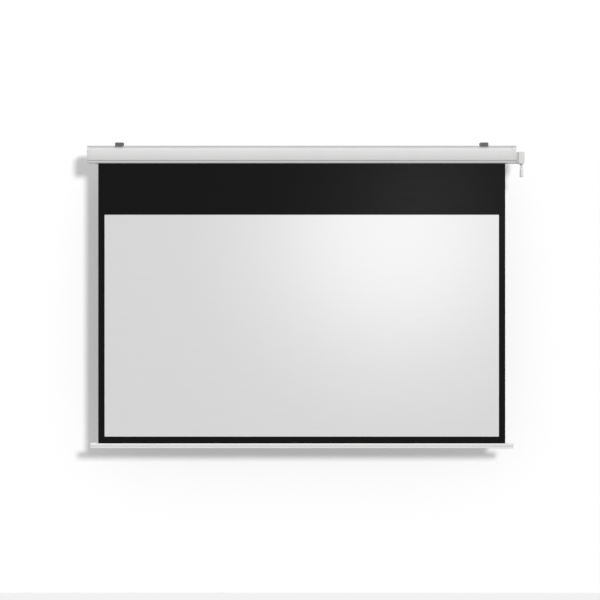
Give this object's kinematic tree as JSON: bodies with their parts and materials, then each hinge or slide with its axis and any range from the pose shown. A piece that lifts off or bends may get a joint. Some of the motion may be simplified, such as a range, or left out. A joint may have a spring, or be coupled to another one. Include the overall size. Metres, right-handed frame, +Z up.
{
  "type": "projector screen",
  "caption": "Crank-operated roll-up projection screen for a wall or ceiling: white cloth with black borders, slim case above, weight bar below.",
  "frame": {"origin": "on the wall plane, level with the top of the case, half way along the case", "axes": "+X along the case towards the crank end, +Y into the wall, +Z up; the viewer stands towards -Y"},
  "size_m": [1.997, 0.0934, 1.3959],
  "materials": {
    "case_paint": "white satin powder coat on extruded aluminium",
    "cap_plastic": "white moulded, fine satin grain",
    "gear_plastic": "light grey moulded, satin",
    "bracket_steel": "dark grey satin coat on bent steel",
    "bright_steel": "bright zinc plate",
    "bare_aluminium": "mill finish",
    "wheel_bronze": "machined bronze, greased",
    "bush_nylon": "black moulded nylon",
    "screen_cloth": "matt white coated cloth",
    "mask_cloth": "matt black coating"
  },
  "bodies": {
    "housing": {"case_profile": "case_paint", "end_cap_left": "cap_plastic", "end_cap_right": "cap_plastic", "bearing_plate_left": "bright_steel", "bearing_plate_right": "bright_steel", "cap_screw_left_top_rear": "bright_steel", "cap_screw_left_bottom_rear": "bright_steel", "cap_screw_left_top_front": "bright_steel", "cap_screw_right_top_rear": "bright_steel", "cap_screw_right_bottom_rear": "bright_steel", "cap_screw_right_top_front": "bright_steel", "idler_pin": "bright_steel", "shaft_bush": "bush_nylon", "gear_housing": "gear_plastic", "gear_cover": "gear_plastic", "worm_bush": "gear_plastic", "gear_screw_1": "bright_steel", "gear_screw_2": "bright_steel", "gear_screw_3": "bright_steel", "gear_screw_4": "bright_steel", "screen_fabric": "screen_cloth", "black_masking": "mask_cloth"},
    "weight_bar": {"bottom_bar": "case_paint", "bar_cap_left": "cap_plastic", "bar_cap_right": "cap_plastic", "hem_rod": "bright_steel"},
    "roller": {"roller_tube": "bare_aluminium", "idler_plug": "bush_nylon", "drive_plug": "bush_nylon", "drive_shaft": "bright_steel", "worm_wheel": "wheel_bronze", "fabric_wrap": "screen_cloth", "spline_rod": "cap_plastic"},
    "crank": {"worm_shaft": "bright_steel"},
    "cross": {"joint_cross": "bright_steel"},
    "eye": {"crank_eye": "cap_plastic"},
    "left_bracket": {"bracket_left": "bracket_steel", "jaw_nut_left": "bright_steel"},
    "left_jaw": {"bracket_jaw_left": "bracket_steel", "jaw_screw_left": "bracket_steel"},
    "right_bracket": {"bracket_right": "bracket_steel", "jaw_nut_right": "bright_steel"},
    "right_jaw": {"bracket_jaw_right": "bracket_steel", "jaw_screw_right": "bracket_steel"}
  },
  "joints": [
    {"name": "bar_slide", "type": "slide", "parent": "housing", "child": "weight_bar", "axis": [0, 0, 1], "range_m": [0, 1.275], "deforming": ["screen_fabric", "black_masking"]},
    {"name": "roller_turn", "type": "hinge", "parent": "housing", "child": "roller", "pos_m": [0, -0.05, -0.045], "axis": [1, 0, 0], "range_deg": [-2640, 0]},
    {"name": "crank_turn", "type": "hinge", "parent": "housing", "child": "crank", "pos_m": [1.0035, -0.0705, -0.045], "axis": [0, 0, 1], "range_deg": [-21120, 0]},
    {"name": "cross_tilt", "type": "hinge", "parent": "crank", "child": "cross", "pos_m": [1.0035, -0.0705, -0.099], "axis": [0, 1, 0], "range_deg": [-35, 35]},
    {"name": "eye_tilt", "type": "hinge", "parent": "cross", "child": "eye", "pos_m": [1.0035, -0.0705, -0.099], "axis": [1, 0, 0], "range_deg": [-35, 35]},
    {"name": "left_bracket_slide", "type": "slide", "parent": "housing", "child": "left_bracket", "axis": [1, 0, 0], "range_m": [-0.1, 0.55]},
    {"name": "left_jaw_slide", "type": "slide", "parent": "left_bracket", "child": "left_jaw", "axis": [0, -1, 0], "range_m": [0, 0.0025]},
    {"name": "right_bracket_slide", "type": "slide", "parent": "housing", "child": "right_bracket", "axis": [1, 0, 0], "range_m": [-0.55, 0.1]},
    {"name": "right_jaw_slide", "type": "slide", "parent": "right_bracket", "child": "right_jaw", "axis": [0, -1, 0], "range_m": [0, 0.0025]}
  ],
  "couplings": [
    {"joint": "roller_turn", "follows": "bar_slide", "rad_per_m": -36},
    {"joint": "crank_turn", "follows": "bar_slide", "rad_per_m": -288}
  ]
}
